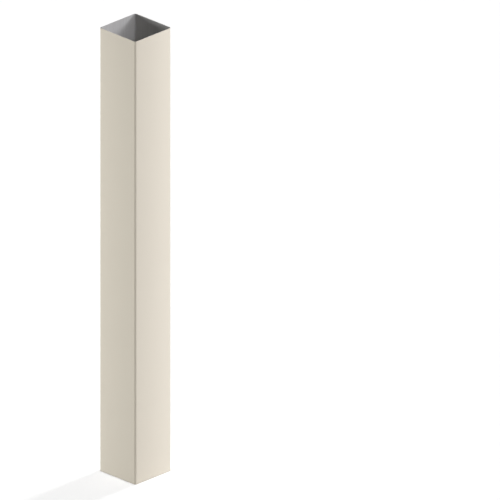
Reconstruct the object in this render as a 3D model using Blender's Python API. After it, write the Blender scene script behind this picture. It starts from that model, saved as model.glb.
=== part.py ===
"""Square porch column wrap: two folded sheets that snap together into a hollow column, open at both ends.

Metres, +Z up. The origin is at the middle of the foot and the four faces lie along X and Y. The corner on
show is the front one, at +X and -Y, so the left corner is at -X and -Y, the right one at +X and +Y, and the
back one at -X and +Y. Both halves are the same about the upright plane through the front and back corners.
"""

import math

import bmesh
import bpy
from mathutils import Matrix, Vector

# The square that the wrap closes round, a dressed 6 x 6
CORE_SIDE = 0.1397
CORE_GAP = 0.0018  # between that square and the nearest sheet, on each side

# The sheet and its four corner bends
LENGTH = 1.400
SHEET = 0.0006
CORNER_RADIUS = 0.006  # outside the bend

# The two snap locks, one on each hidden face. The front half turns the corner in a lap, which is folded back
# inside as a lip. The back half slides under the lip as a tongue, and its sprung barb catches behind the
# lip's end.
LAYER_GAP = 0.00035
LIP_LENGTH = 0.005
BARB_LENGTH = 0.005
BARB_PLAY = 0.0005  # between the ends of the barb and the lip
CORNER_INSET = 0.0015  # between the corner bend and the tongue's fold
STEP_RADIUS = 0.00095  # where the back half leaves its face, at the middle of the sheet
STEP_ANGLE = math.radians(60)

# How finely a bend is cut: the turn of one facet
CORNER_FACET = math.radians(9)
FOLD_FACET = math.radians(15)

PAINT = (0.505, 0.461, 0.376)

# How deep the middle of each layer lies under the face. The barb has room to pass between the lip and the
# tongue.
LAYER_PITCH = SHEET + LAYER_GAP
FOLD_RADIUS = LAYER_PITCH / 2
LAP_DEPTH = SHEET / 2
LIP_DEPTH = LAP_DEPTH + LAYER_PITCH
TONGUE_DEPTH = LIP_DEPTH + LAYER_PITCH + SHEET
LOCK_DEPTH = TONGUE_DEPTH + SHEET / 2
BARB_LEAN = math.asin((TONGUE_DEPTH - LIP_DEPTH - 2 * FOLD_RADIUS) / BARB_LENGTH)

SIDE = CORE_SIDE + SHEET + LOCK_DEPTH + 2 * CORE_GAP
CORNER_BEND = CORNER_RADIUS - SHEET / 2
FACE_RUN = SIDE - 2 * CORNER_RADIUS

# Places along a hidden face, from the plane of the face on show next to it
TONGUE_FOLD_AT = CORNER_RADIUS + CORNER_INSET + FOLD_RADIUS + SHEET / 2
BARB_END_AT = TONGUE_FOLD_AT - FOLD_RADIUS * math.sin(BARB_LEAN) + BARB_LENGTH * math.cos(BARB_LEAN)
LIP_END_AT = BARB_END_AT + BARB_PLAY
LIP_FOLD_AT = LIP_END_AT + LIP_LENGTH

QUARTER_TURN = math.pi / 2
HALF_TURN = math.pi


def run(length):
    """A straight stretch of a section."""
    return length, 0.0, 0.0


def bend(radius, turn, facet=FOLD_FACET):
    """An arc of a section, at the middle of the sheet. It turns left where turn is positive."""
    return radius, turn, facet


def trace(start, heading, moves):
    """The points of a section, seen from above, that makes these runs and bends one after the other."""
    points = [Vector(start)]
    heading = Vector(heading)
    for size, turn, facet in moves:
        here = points[-1]
        if not turn:
            points.append(here + heading * size)
            continue
        to_centre = Matrix.Rotation(math.copysign(QUARTER_TURN, turn), 2) @ heading * size
        facets = math.ceil(abs(turn) / facet - 1e-6)
        for i in range(1, facets + 1):
            points.append(here + to_centre - Matrix.Rotation(turn * i / facets, 2) @ to_centre)
        heading = Matrix.Rotation(turn, 2) @ heading
    return points


def front_section():
    """Lip, lap, left corner, face, front corner, face, right corner, lap, lip."""
    lock = [run(LIP_LENGTH), bend(FOLD_RADIUS, HALF_TURN), run(LIP_FOLD_AT - CORNER_RADIUS)]
    corner = bend(CORNER_BEND, QUARTER_TURN, CORNER_FACET)
    face = run(FACE_RUN)
    moves = lock + [corner, face, corner, face, corner] + lock[::-1]
    return trace((-SIDE / 2 + LIP_DEPTH, -SIDE / 2 + LIP_END_AT), (0, 1), moves)


def back_section():
    """Barb, tongue, step out to the face, back corner, face, step in, tongue, barb."""
    # The step turns about the centre of the lip's fold first, so that it keeps its distance from it
    fold_centre = LAP_DEPTH + FOLD_RADIUS
    step_bend = TONGUE_DEPTH - fold_centre
    rise = (
        fold_centre + step_bend * math.cos(STEP_ANGLE) - LAP_DEPTH - STEP_RADIUS * (1 - math.cos(STEP_ANGLE))
    )
    slope = rise / math.sin(STEP_ANGLE)
    step_length = (step_bend + STEP_RADIUS) * math.sin(STEP_ANGLE) + slope * math.cos(STEP_ANGLE)
    lock = [
        run(BARB_LENGTH),
        bend(FOLD_RADIUS, HALF_TURN - BARB_LEAN),
        run(LIP_FOLD_AT - TONGUE_FOLD_AT),
        bend(step_bend, STEP_ANGLE),
        run(slope),
        bend(STEP_RADIUS, -STEP_ANGLE),
        run(SIDE - CORNER_RADIUS - LIP_FOLD_AT - step_length),
    ]
    corner = bend(CORNER_BEND, -QUARTER_TURN, CORNER_FACET)
    moves = lock + [corner] + lock[::-1]
    barb_depth = TONGUE_DEPTH - FOLD_RADIUS * (1 + math.cos(BARB_LEAN)) - BARB_LENGTH * math.sin(BARB_LEAN)
    heading = (math.sin(BARB_LEAN), -math.cos(BARB_LEAN))
    return trace((-SIDE / 2 + barb_depth, -SIDE / 2 + BARB_END_AT), heading, moves)


def satin_paint(name, color):
    """Baked satin paint on aluminium."""
    material = bpy.data.materials.new(name)
    material.use_nodes = True
    shader = material.node_tree.nodes["Principled BSDF"]
    shader.inputs["Base Color"].default_value = (*color, 1.0)
    shader.inputs["Roughness"].default_value = 0.45
    shader.inputs["Metallic"].default_value = 0.0
    return material


def folded_sheet(name, section, material):
    """A sheet of the wrap's length, folded to a section and given its thickness."""
    shape = bmesh.new()
    foot = [shape.verts.new((point.x, point.y, 0.0)) for point in section]
    edges = [shape.edges.new(pair) for pair in zip(foot, foot[1:])]
    raised = bmesh.ops.extrude_edge_only(shape, edges=edges)["geom"]
    head = [item for item in raised if isinstance(item, bmesh.types.BMVert)]
    bmesh.ops.translate(shape, verts=head, vec=(0.0, 0.0, LENGTH))
    mesh = bpy.data.meshes.new(name)
    shape.to_mesh(mesh)
    shape.free()
    mesh.materials.append(material)
    mesh.shade_smooth()
    sheet = bpy.data.objects.new(name, mesh)
    bpy.context.scene.collection.objects.link(sheet)
    wall = sheet.modifiers.new("wall", "SOLIDIFY")
    wall.thickness = SHEET
    wall.offset = 0.0
    wall.use_even_offset = True
    wall.use_quality_normals = True
    return sheet


def column_wrap():
    for item in list(bpy.data.objects):
        bpy.data.objects.remove(item, do_unlink=True)
    folded_sheet("front_half", front_section(), satin_paint("front_paint", PAINT))
    folded_sheet("back_half", back_section(), satin_paint("back_paint", PAINT))


column_wrap()
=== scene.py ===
"""Square porch column wrap of painted sheet: its two folded halves, and the studio it stands in.

Metres, +Z up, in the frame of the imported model. The front corner is at +X and -Y, the left one at -X and
-Y, the right one at +X and +Y, and the back one at -X and +Y. The halves lock on the two hidden faces, the
ones beside the back corner.
"""

import math

import bmesh
import bpy
from mathutils import Matrix, Vector


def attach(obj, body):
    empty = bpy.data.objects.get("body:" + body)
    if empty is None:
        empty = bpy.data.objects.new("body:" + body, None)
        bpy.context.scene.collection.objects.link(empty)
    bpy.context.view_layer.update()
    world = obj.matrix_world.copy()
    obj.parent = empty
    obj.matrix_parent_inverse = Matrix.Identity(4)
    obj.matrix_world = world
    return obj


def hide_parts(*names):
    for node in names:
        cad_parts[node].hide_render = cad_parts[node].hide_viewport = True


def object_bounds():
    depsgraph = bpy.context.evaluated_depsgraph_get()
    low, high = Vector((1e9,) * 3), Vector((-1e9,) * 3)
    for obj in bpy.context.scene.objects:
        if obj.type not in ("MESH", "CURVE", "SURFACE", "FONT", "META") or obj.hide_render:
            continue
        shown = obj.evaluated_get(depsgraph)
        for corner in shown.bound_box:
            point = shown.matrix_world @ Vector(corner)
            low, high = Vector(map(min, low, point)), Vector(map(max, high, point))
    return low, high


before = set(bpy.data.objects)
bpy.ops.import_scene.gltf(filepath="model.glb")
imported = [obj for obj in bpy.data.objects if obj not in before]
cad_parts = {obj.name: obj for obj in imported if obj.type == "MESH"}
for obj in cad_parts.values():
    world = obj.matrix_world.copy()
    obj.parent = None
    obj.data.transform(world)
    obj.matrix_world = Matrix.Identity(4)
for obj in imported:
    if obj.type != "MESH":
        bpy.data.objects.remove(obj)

bl_info = {
    "name": "Porch column wrap",
    "version": (1, 0, 0),
    "blender": (4, 5, 0),
    "location": "3D view > Sidebar > Column wrap",
    "description": "Folds the two sheets of a square porch column wrap and sets up its studio",
    "category": "Object",
}

CAD_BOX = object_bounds()
SIDE = CAD_BOX[1].x - CAD_BOX[0].x
LENGTH = CAD_BOX[1].z - CAD_BOX[0].z

QUARTER_TURN = math.pi / 2
HALF_TURN = math.pi

# A run longer than this many flat margins keeps one at each end
LONG_RUN = 4

# An edge that turns more than the first is rounded as a cut edge, and one that turns more than the second
# is left sharp in the shading
CUT_EDGE_TURN = math.radians(60)
SHARP_TURN = math.radians(15)

# Where most of a noise's values lie
NOISE_LOW = 0.3
NOISE_HIGH = 0.7

# The room is bright at the horizon, and fades to the sky as a line of sight rises between these slopes
HORIZON_BRIGHTNESS = 1.05
FADE_START = 0.01
FADE_END = 0.04

# Each far light: where it shines from, and how wide it looks
FAR_LIGHTS = {
    "overhead": ((0.0, 0.0, 1.0), math.radians(0.5)),
    "key": ((0.0, 0.5, 0.87), math.radians(3)),
    "steep_light": ((0.855, 0.0, 0.518), math.radians(12)),
    "right_light": ((0.66, 0.66, 0.396), math.radians(20)),
    "left_light": ((-0.64, -0.77, 0.0), math.radians(20)),
}

# Each tall strip, seen from above: where it stands, and the place on the wrap that it faces
STRIPS = {
    "right_strip": ((0.235, 0.20), (0.07, 0.0)),
    "left_strip": ((-0.30, -0.20), (0.0, -0.07)),
}

FLOOR_RADIUS = 40.0
CAMERA_DISTANCE = 5.0
CAMERA_REACH = 60.0


class WrapSheet(bpy.types.PropertyGroup):
    """The gauge of the sheet and the radii of its bends."""

    thickness: bpy.props.FloatProperty(
        name="Sheet", description="Thickness of the sheet", default=0.0006, unit="LENGTH", precision=5
    )
    corner_radius: bpy.props.FloatProperty(
        name="Corner radius", description="Outside radius of the four corner bends", default=0.006,
        unit="LENGTH",
    )
    corner_steps: bpy.props.IntProperty(
        name="Corner steps", description="Facets in each corner bend", default=24
    )
    fold_steps: bpy.props.IntProperty(
        name="Fold steps", description="Facets in a half turn of a fold", default=20
    )
    burr: bpy.props.FloatProperty(
        name="Cut edge", description="Rounding of the cut edges", default=0.00008, unit="LENGTH", precision=5
    )
    flat_margin: bpy.props.FloatProperty(
        name="Flat margin", description="Strip beside a bend that takes up its shading", default=0.0012,
        unit="LENGTH", precision=5,
    )


class WrapLock(bpy.types.PropertyGroup):
    """The snap locks of the two hidden faces."""

    layer_gap: bpy.props.FloatProperty(
        name="Layer gap", description="Air between two layers of a lock", default=0.00035, unit="LENGTH",
        precision=5,
    )
    lip_length: bpy.props.FloatProperty(
        name="Lip", description="Straight length of the front half's lip", default=0.005, unit="LENGTH"
    )
    barb_length: bpy.props.FloatProperty(
        name="Barb", description="Straight length of the back half's barb", default=0.005, unit="LENGTH"
    )
    barb_play: bpy.props.FloatProperty(
        name="Barb play", description="Gap between the ends of barb and lip", default=0.0005, unit="LENGTH",
        precision=5,
    )
    corner_inset: bpy.props.FloatProperty(
        name="Corner inset", description="From the corner bend to the tongue's fold", default=0.0015,
        unit="LENGTH", precision=5,
    )
    step_radius: bpy.props.FloatProperty(
        name="Step radius", description="Bend where the back half leaves its face", default=0.00095,
        unit="LENGTH", precision=5,
    )
    step_angle: bpy.props.FloatProperty(
        name="Step angle", description="Slope of the step under the lip", default=math.radians(60),
        subtype="ANGLE",
    )


class WrapFinish(bpy.types.PropertyGroup):
    """Colours and gloss of the coated sheet."""

    paint: bpy.props.FloatVectorProperty(
        name="Paint", description="Satin paint on the outside", default=(0.505, 0.461, 0.376),
        subtype="COLOR",
    )
    paint_roughness: bpy.props.FloatProperty(
        name="Paint roughness", description="Roughness of the satin paint", default=0.48, subtype="FACTOR"
    )
    wash: bpy.props.FloatVectorProperty(
        name="Wash coat", description="Thin grey coat on the inside", default=(0.635, 0.627, 0.606),
        subtype="COLOR",
    )
    metal: bpy.props.FloatVectorProperty(
        name="Cut edge", description="Bare aluminium of the cut edges", default=(0.55, 0.55, 0.56),
        subtype="COLOR",
    )


class WrapStudio(bpy.types.PropertyGroup):
    """The floor, the lights and the camera."""

    azimuth: bpy.props.FloatProperty(
        name="Azimuth", description="Camera's turn from -Y towards +X", default=math.radians(45),
        subtype="ANGLE",
    )
    elevation: bpy.props.FloatProperty(
        name="Elevation", description="Camera's height above the horizon", default=math.radians(23.6),
        subtype="ANGLE",
    )
    view_width: bpy.props.FloatProperty(
        name="View width", description="Width of the camera's view", default=1.4485, unit="LENGTH"
    )
    aside: bpy.props.FloatProperty(
        name="Aside", description="How far the view's middle lies to the right of the wrap", default=0.3322,
        unit="LENGTH",
    )
    below: bpy.props.FloatProperty(
        name="Below", description="How far the view's middle lies under the wrap's", default=0.0027,
        unit="LENGTH",
    )
    floor: bpy.props.FloatVectorProperty(
        name="Floor", description="Colour of the floor", default=(0.9, 0.9, 0.9), subtype="COLOR"
    )
    sky: bpy.props.FloatProperty(
        name="Sky", description="Brightness of the room above", default=0.04
    )
    overhead: bpy.props.FloatProperty(
        name="Overhead", description="Strength of the light from straight above", default=2.99
    )
    key: bpy.props.FloatProperty(
        name="Key", description="Strength of the light from behind, which gives the floor its shadow",
        default=0.52,
    )
    steep_light: bpy.props.FloatProperty(
        name="Steep light", description="Strength of the high light on the right", default=0.79
    )
    right_light: bpy.props.FloatProperty(
        name="Right light", description="Strength of the low light on the right", default=1.13
    )
    left_light: bpy.props.FloatProperty(
        name="Left light", description="Strength of the level light on the left", default=1.39
    )
    right_strip: bpy.props.FloatProperty(
        name="Right strip", description="Power of the tall strip beside the right edge", default=1.58,
        unit="POWER",
    )
    left_strip: bpy.props.FloatProperty(
        name="Left strip", description="Power of the tall strip beside the left edge", default=1.34,
        unit="POWER",
    )
    strip_width: bpy.props.FloatProperty(
        name="Strip width", description="Width of the tall strips", default=0.06, unit="LENGTH"
    )
    right_tint: bpy.props.FloatVectorProperty(
        name="Right tint", description="Colour of the lights on the right", default=(1.0, 1.0, 1.06),
        subtype="COLOR",
    )
    strip_foot: bpy.props.FloatProperty(
        name="Strip foot", description="Height of the tall strips' lower ends", default=-0.25, unit="LENGTH"
    )
    right_strip_head: bpy.props.FloatProperty(
        name="Right strip head", description="Height of the right strip's upper end, over the wrap's head",
        default=LENGTH + 0.3, unit="LENGTH",
    )
    left_strip_head: bpy.props.FloatProperty(
        name="Left strip head",
        description="Height of the left strip's upper end, low so that the inside stays dark",
        default=LENGTH + 0.06, unit="LENGTH",
    )


def lock_layout(sheet, lock):
    """The depths of a lock's layers under the face, at the middle of the sheet, and its places along the
    face from the plane of the face on show next to it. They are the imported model's own."""
    pitch = sheet.thickness + lock.layer_gap
    fold = pitch / 2
    lap = sheet.thickness / 2
    lip = lap + pitch
    tongue = lip + pitch + sheet.thickness
    lean = math.asin((tongue - lip - 2 * fold) / lock.barb_length)
    tongue_fold_at = sheet.corner_radius + lock.corner_inset + fold + lap
    barb_end_at = tongue_fold_at - fold * math.sin(lean) + lock.barb_length * math.cos(lean)
    lip_end_at = barb_end_at + lock.barb_play
    return {
        "fold": fold,
        "lap": lap,
        "lip": lip,
        "tongue": tongue,
        "lean": lean,
        "tongue_fold_at": tongue_fold_at,
        "barb_end_at": barb_end_at,
        "lip_end_at": lip_end_at,
        "lip_fold_at": lip_end_at + lock.lip_length,
    }


def run(length):
    """A straight stretch of a fold plan."""
    return length, 0.0, 0


def bend(radius, turn, steps):
    """A bend of a fold plan, at the middle of the sheet. It turns left where turn is positive."""
    return radius, turn, steps


def front_plan(sheet, lock):
    """Start, heading and moves: lip, lap, left corner, face, front corner, face, right corner, lap, lip."""
    layout = lock_layout(sheet, lock)
    ending = [
        run(lock.lip_length),
        bend(layout["fold"], HALF_TURN, sheet.fold_steps),
        run(layout["lip_fold_at"] - sheet.corner_radius),
    ]
    corner = bend(sheet.corner_radius - sheet.thickness / 2, QUARTER_TURN, sheet.corner_steps)
    face = run(SIDE - 2 * sheet.corner_radius)
    start = Vector((-SIDE / 2 + layout["lip"], -SIDE / 2 + layout["lip_end_at"], 0.0))
    return start, Vector((0.0, 1.0, 0.0)), ending + [corner, face, corner, face, corner] + ending[::-1]


def back_plan(sheet, lock):
    """Start, heading and moves: barb, tongue, step out to the face, back corner, and the same back again."""
    layout = lock_layout(sheet, lock)
    angle, radius, lean = lock.step_angle, lock.step_radius, layout["lean"]
    centre = layout["lap"] + layout["fold"]
    step_bend = layout["tongue"] - centre
    rise = centre + step_bend * math.cos(angle) - layout["lap"] - radius * (1 - math.cos(angle))
    slope = rise / math.sin(angle)
    step_length = (step_bend + radius) * math.sin(angle) + slope * math.cos(angle)
    step_steps = math.ceil(sheet.fold_steps * angle / HALF_TURN)
    ending = [
        run(lock.barb_length),
        bend(layout["fold"], HALF_TURN - lean, sheet.fold_steps),
        run(layout["lip_fold_at"] - layout["tongue_fold_at"]),
        bend(step_bend, angle, step_steps),
        run(slope),
        bend(radius, -angle, step_steps),
        run(SIDE - sheet.corner_radius - layout["lip_fold_at"] - step_length),
    ]
    corner = bend(sheet.corner_radius - sheet.thickness / 2, -QUARTER_TURN, sheet.corner_steps)
    barb_depth = layout["tongue"] - layout["fold"] * (1 + math.cos(lean)) - lock.barb_length * math.sin(lean)
    start = Vector((-SIDE / 2 + barb_depth, -SIDE / 2 + layout["barb_end_at"], 0.0))
    return start, Vector((math.sin(lean), -math.cos(lean), 0.0)), ending + [corner] + ending[::-1]


def of_kind(items, kind):
    """The items of one kind among those that an operator gives back."""
    return [item for item in items if isinstance(item, kind)]


def fold(plan, margin):
    """A sheet of no thickness, drawn out from its first long edge: runs are extruded and bends are spun."""
    start, heading, moves = plan
    shape = bmesh.new()
    ends = [shape.verts.new(start), shape.verts.new(start + Vector((0.0, 0.0, LENGTH)))]
    edge = shape.edges.new(ends)
    for size, turn, steps in moves:
        if turn:
            to_centre = Matrix.Rotation(math.copysign(QUARTER_TURN, turn), 3, "Z") @ heading * size
            spun = bmesh.ops.spin(
                shape, geom=[*ends, edge], cent=ends[0].co + to_centre, axis=(0.0, 0.0, 1.0), angle=turn,
                steps=steps, use_merge=False, use_duplicate=False,
            )
            ends = of_kind(spun["geom_last"], bmesh.types.BMVert)
            edge = shape.edges.get(ends)
            heading = Matrix.Rotation(turn, 3, "Z") @ heading
            continue
        stretches = (margin, size - 2 * margin, margin) if size > LONG_RUN * margin else (size,)
        for stretch in stretches:
            drawn = bmesh.ops.extrude_edge_only(shape, edges=[edge])["geom"]
            ends = of_kind(drawn, bmesh.types.BMVert)
            bmesh.ops.translate(shape, verts=ends, vec=heading * stretch)
            edge = shape.edges.get(ends)
    widest = max(shape.faces, key=lambda face: face.calc_area())
    outwards = widest.calc_center_median().xy.to_3d()
    if widest.normal.dot(outwards) < 0:
        bmesh.ops.reverse_faces(shape, faces=shape.faces)
    return shape


def make_half(name, node, plan, scene):
    """A folded half with its thickness, its softened cut edges and its three finishes."""
    sheet = scene.wrap_sheet
    shape = fold(plan, sheet.flat_margin)
    mesh = bpy.data.meshes.new(name)
    shape.to_mesh(mesh)
    shape.free()
    half = bpy.data.objects.new(name, mesh)
    scene.collection.objects.link(half)
    for material in (outside_paint(scene), inside_wash(scene), cut_edge(scene)):
        mesh.materials.append(material)
    wall = half.modifiers.new("wall", "SOLIDIFY")
    wall.thickness = sheet.thickness
    wall.offset = 0.0
    wall.use_even_offset = True
    wall.use_quality_normals = True
    wall.material_offset = 1
    wall.material_offset_rim = 2
    softened = half.modifiers.new("softened", "BEVEL")
    softened.width = sheet.burr
    softened.segments = 2
    softened.limit_method = "ANGLE"
    softened.angle_limit = CUT_EDGE_TURN
    softened.use_clamp_overlap = False
    bpy.context.view_layer.update()
    half.data = bpy.data.meshes.new_from_object(half.evaluated_get(bpy.context.evaluated_depsgraph_get()))
    half.modifiers.clear()
    half.data.shade_smooth()
    half.data.set_sharp_from_angle(angle=SHARP_TURN)
    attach(half, "root")
    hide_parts(node)


def new_material(name):
    """A node material with its principled shader, or the one that is there already, with no shader."""
    found = bpy.data.materials.get(name)
    if found:
        return found, None
    material = bpy.data.materials.new(name)
    material.use_nodes = True
    return material, material.node_tree.nodes["Principled BSDF"]


def add_node(tree, kind, values=None, **settings):
    """A node of a kind, with these values on its inputs and these settings."""
    node = tree.nodes.new(kind)
    for key, value in settings.items():
        setattr(node, key, value)
    for key, value in (values or {}).items():
        node.inputs[key].default_value = value
    return node


def grey(brightness):
    """An even grey."""
    return brightness, brightness, brightness, 1.0


def object_coordinates(tree, along=1.0):
    """Object coordinates, on which a pattern is drawn out along the sheet where along is under 1."""
    place = add_node(tree, "ShaderNodeTexCoord")
    mapping = add_node(tree, "ShaderNodeMapping", {"Scale": (1.0, 1.0, along)})
    tree.links.new(place.outputs["Object"], mapping.inputs["Vector"])
    return mapping.outputs["Vector"]


def noise(tree, vector, scale, detail=2.0, roughness=0.5):
    """Soft noise, from 0 to 1."""
    node = add_node(tree, "ShaderNodeTexNoise", {"Scale": scale, "Detail": detail, "Roughness": roughness})
    tree.links.new(vector, node.inputs["Vector"])
    return node.outputs["Fac"]


def spread(tree, value, low, high):
    """A noise's value, spread from low to high."""
    limits = {"From Min": NOISE_LOW, "From Max": NOISE_HIGH, "To Min": low, "To Max": high}
    node = add_node(tree, "ShaderNodeMapRange", limits)
    tree.links.new(value, node.inputs["Value"])
    return node.outputs["Result"]


def tinted(tree, value, color, low, high):
    """The colour, between its low and high shares."""
    mix = add_node(tree, "ShaderNodeMix", data_type="RGBA")
    mix.inputs["A"].default_value = (*[c * low for c in color], 1.0)
    mix.inputs["B"].default_value = (*[c * high for c in color], 1.0)
    tree.links.new(value, mix.inputs["Factor"])
    return mix.outputs["Result"]


def bumped(tree, height, distance, strength, below=None):
    """The normal of a surface raised by a height, over another such normal where one is given."""
    node = add_node(tree, "ShaderNodeBump", {"Strength": strength, "Distance": distance})
    tree.links.new(height, node.inputs["Height"])
    if below is not None:
        tree.links.new(below, node.inputs["Normal"])
    return node.outputs["Normal"]


def outside_paint(scene):
    """Baked satin paint, faintly cloudy, with roller lines along the sheet and orange peel."""
    material, shader = new_material("outside_paint")
    if shader is None:
        return material
    finish, tree = scene.wrap_finish, material.node_tree
    evenly = object_coordinates(tree)
    lengthways = object_coordinates(tree, along=0.02)
    cloud = noise(tree, evenly, scale=6.0, detail=3.0)
    roller = noise(tree, lengthways, scale=420.0)
    peel = noise(tree, evenly, scale=520.0, detail=1.0)
    tree.links.new(tinted(tree, cloud, finish.paint, low=0.985, high=1.015), shader.inputs["Base Color"])
    play = 0.03
    gloss = spread(tree, roller, low=finish.paint_roughness - play, high=finish.paint_roughness + play)
    tree.links.new(gloss, shader.inputs["Roughness"])
    fine = bumped(tree, peel, distance=0.00002, strength=0.35)
    lined = bumped(tree, roller, distance=0.00001, strength=0.25, below=fine)
    tree.links.new(lined, shader.inputs["Normal"])
    return material


def inside_wash(scene):
    """Thin grey wash coat, streaked along the sheet, over the rolled metal."""
    material, shader = new_material("inside_wash")
    if shader is None:
        return material
    finish, tree = scene.wrap_finish, material.node_tree
    evenly = object_coordinates(tree)
    lengthways = object_coordinates(tree, along=0.015)
    streaks = noise(tree, lengthways, scale=180.0, detail=4.0, roughness=0.6)
    blotches = noise(tree, evenly, scale=14.0, detail=3.0)
    tree.links.new(tinted(tree, streaks, finish.wash, low=0.90, high=1.10), shader.inputs["Base Color"])
    tree.links.new(spread(tree, blotches, low=0.48, high=0.60), shader.inputs["Roughness"])
    shader.inputs["Specular IOR Level"].default_value = 0.1
    tree.links.new(bumped(tree, streaks, distance=0.00002, strength=0.3), shader.inputs["Normal"])
    return material


def cut_edge(scene):
    """Bare aluminium, sheared across."""
    material, shader = new_material("cut_edge")
    if shader is None:
        return material
    finish, tree = scene.wrap_finish, material.node_tree
    shear = noise(tree, object_coordinates(tree), scale=1800.0)
    tree.links.new(tinted(tree, shear, finish.metal, low=0.88, high=1.05), shader.inputs["Base Color"])
    shader.inputs["Metallic"].default_value = 1.0
    tree.links.new(spread(tree, shear, low=0.42, high=0.62), shader.inputs["Roughness"])
    tree.links.new(bumped(tree, shear, distance=0.00002, strength=0.4), shader.inputs["Normal"])
    return material


def light_for(scene, light, towards):
    """An unseen lamp that shines from a direction."""
    lamp = bpy.data.objects.new(light.name, light)
    lamp.rotation_mode = "QUATERNION"
    lamp.rotation_quaternion = (-Vector(towards)).to_track_quat("-Z", "Y")
    lamp.visible_camera = False
    scene.collection.objects.link(lamp)
    return lamp


def far_light(scene, name):
    """A far soft light, as strong as the studio's setting of its name."""
    towards, width = FAR_LIGHTS[name]
    light = bpy.data.lights.new(name, "SUN")
    light.energy = getattr(scene.wrap_studio, name)
    light.angle = width
    return light_for(scene, light, towards)


def strip_light(scene, name):
    """A tall upright strip light beside the wrap, with the power and the head that the studio sets."""
    studio = scene.wrap_studio
    place, faced = STRIPS[name]
    head = getattr(studio, f"{name}_head")
    light = bpy.data.lights.new(name, "AREA")
    light.shape = "RECTANGLE"
    light.size = studio.strip_width
    light.size_y = head - studio.strip_foot
    light.energy = getattr(studio, name)
    level = (head + studio.strip_foot) / 2
    lamp = light_for(scene, light, Vector((*place, level)) - Vector((*faced, level)))
    lamp.location = (*place, level)
    return lamp


def keep_off(floor, lamps):
    """Neither lights the floor with these lamps nor lets it stop their light."""
    kept_off = bpy.data.collections.new("kept_off")
    kept_off.objects.link(floor)
    for lamp in lamps:
        lamp.light_linking.receiver_collection = kept_off
        lamp.light_linking.blocker_collection = kept_off
    kept_off.collection_objects[0].light_linking.link_state = "EXCLUDE"


def pale_room(scene):
    """White at the horizon and dimmer above."""
    world = bpy.data.worlds.new("pale_room")
    world.use_nodes = True
    tree = world.node_tree
    background = tree.nodes["Background"]
    place = add_node(tree, "ShaderNodeTexCoord")
    parts = add_node(tree, "ShaderNodeSeparateXYZ")
    height = add_node(tree, "ShaderNodeMapRange", {"From Min": FADE_START, "From Max": FADE_END})
    mix = add_node(tree, "ShaderNodeMix", data_type="RGBA")
    mix.inputs["A"].default_value = grey(HORIZON_BRIGHTNESS)
    mix.inputs["B"].default_value = grey(scene.wrap_studio.sky)
    tree.links.new(place.outputs["Generated"], parts.inputs["Vector"])
    tree.links.new(parts.outputs["Z"], height.inputs["Value"])
    tree.links.new(height.outputs["Result"], mix.inputs["Factor"])
    tree.links.new(mix.outputs["Result"], background.inputs["Color"])
    scene.world = world


def pale_floor(scene):
    """A wide pale floor."""
    shape = bmesh.new()
    bmesh.ops.create_circle(shape, cap_ends=True, segments=64, radius=FLOOR_RADIUS)
    mesh = bpy.data.meshes.new("studio_floor")
    shape.to_mesh(mesh)
    shape.free()
    floor = bpy.data.objects.new("studio_floor", mesh)
    scene.collection.objects.link(floor)
    material, shader = new_material("floor_paper")
    tree = material.node_tree
    grain = noise(tree, object_coordinates(tree), scale=60.0)
    paper = tinted(tree, grain, scene.wrap_studio.floor, low=0.995, high=1.005)
    tree.links.new(paper, shader.inputs["Base Color"])
    shader.inputs["Roughness"].default_value = 0.9
    shader.inputs["Specular IOR Level"].default_value = 0.0
    mesh.materials.append(material)
    return floor


def view_axes(studio):
    """Unit vectors from the wrap to the camera, to the view's right and to its top."""
    a, e = studio.azimuth, studio.elevation
    back = Vector((math.sin(a) * math.cos(e), -math.cos(a) * math.cos(e), math.sin(e)))
    right = Vector((math.cos(a), math.sin(a), 0.0))
    return back, right, back.cross(right)


def studio_camera(scene):
    """A camera with no perspective, as the photograph's parallel edges ask for."""
    studio = scene.wrap_studio
    back, right, up = view_axes(studio)
    camera = bpy.data.cameras.new("studio_camera")
    camera.type = "ORTHO"
    camera.ortho_scale = studio.view_width
    camera.clip_end = CAMERA_REACH
    holder = bpy.data.objects.new("studio_camera", camera)
    middle = Vector((0.0, 0.0, LENGTH / 2)) + right * studio.aside - up * studio.below
    holder.location = middle + back * CAMERA_DISTANCE
    holder.rotation_mode = "QUATERNION"
    holder.rotation_quaternion = (-back).to_track_quat("-Z", "Y")
    scene.collection.objects.link(holder)
    scene.camera = holder


class PORCHWRAP_OT_front_half(bpy.types.Operator):
    """Fold the front half, with the two faces on show and the lips of both locks"""

    bl_idname = "porch_wrap.front_half"
    bl_label = "Front half"

    def execute(self, context):
        scene = context.scene
        make_half("front_sheet", "front_half", front_plan(scene.wrap_sheet, scene.wrap_lock), scene)
        return {"FINISHED"}


class PORCHWRAP_OT_back_half(bpy.types.Operator):
    """Fold the back half, with the two hidden faces and the barbs of both locks"""

    bl_idname = "porch_wrap.back_half"
    bl_label = "Back half"

    def execute(self, context):
        scene = context.scene
        make_half("back_sheet", "back_half", back_plan(scene.wrap_sheet, scene.wrap_lock), scene)
        return {"FINISHED"}


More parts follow.
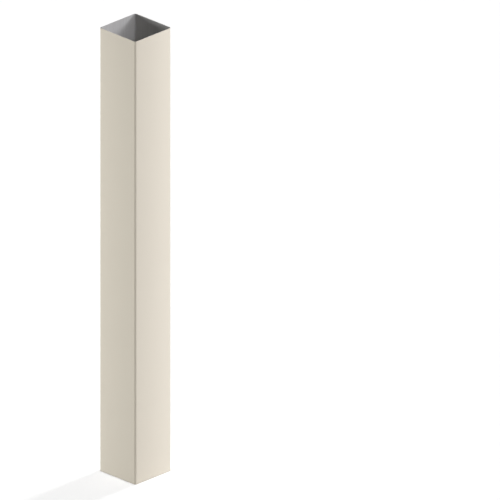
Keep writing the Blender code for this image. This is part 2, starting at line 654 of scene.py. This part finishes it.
class PORCHWRAP_OT_studio(bpy.types.Operator):
    """Set up the pale floor, the lights and the camera"""

    bl_idname = "porch_wrap.studio"
    bl_label = "Studio"

    def execute(self, context):
        scene = context.scene
        scene.view_settings.view_transform = "Standard"
        pale_room(scene)
        floor = pale_floor(scene)
        far_light(scene, "overhead")
        far_light(scene, "key")
        on_right = (
            far_light(scene, "steep_light"),
            far_light(scene, "right_light"),
            strip_light(scene, "right_strip"),
        )
        on_left = (
            far_light(scene, "left_light"),
            strip_light(scene, "left_strip"),
        )
        for lamp in on_right:
            lamp.data.color = scene.wrap_studio.right_tint
        for lamp in on_left:
            # Else the left face would pass this light on to the floor, and fill the shadow
            lamp.data.cycles.max_bounces = 0
        keep_off(floor, on_right + on_left)
        studio_camera(scene)
        return {"FINISHED"}


class PORCHWRAP_PT_panel(bpy.types.Panel):
    """The wrap's pieces and their sizes"""

    bl_label = "Column wrap"
    bl_idname = "PORCHWRAP_PT_panel"
    bl_space_type = "VIEW_3D"
    bl_region_type = "UI"
    bl_category = "Column wrap"

    def draw(self, context):
        for settings in GROUPS:
            group = getattr(context.scene, settings)
            column = self.layout.column(align=True)
            for name in group.__annotations__:
                column.prop(group, name)
        for operator in OPERATORS:
            self.layout.operator(operator.bl_idname)


GROUPS = {
    "wrap_sheet": WrapSheet,
    "wrap_lock": WrapLock,
    "wrap_finish": WrapFinish,
    "wrap_studio": WrapStudio,
}
OPERATORS = (PORCHWRAP_OT_front_half, PORCHWRAP_OT_back_half, PORCHWRAP_OT_studio)
CLASSES = (*GROUPS.values(), *OPERATORS, PORCHWRAP_PT_panel)


def register():
    for cls in CLASSES:
        bpy.utils.register_class(cls)
    for name, group in GROUPS.items():
        setattr(bpy.types.Scene, name, bpy.props.PointerProperty(type=group))


def unregister():
    for name in GROUPS:
        delattr(bpy.types.Scene, name)
    for cls in reversed(CLASSES):
        bpy.utils.unregister_class(cls)


def main():
    register()
    bpy.ops.porch_wrap.front_half()
    bpy.ops.porch_wrap.back_half()
    bpy.ops.porch_wrap.studio()


if __name__ == "__main__":
    main()
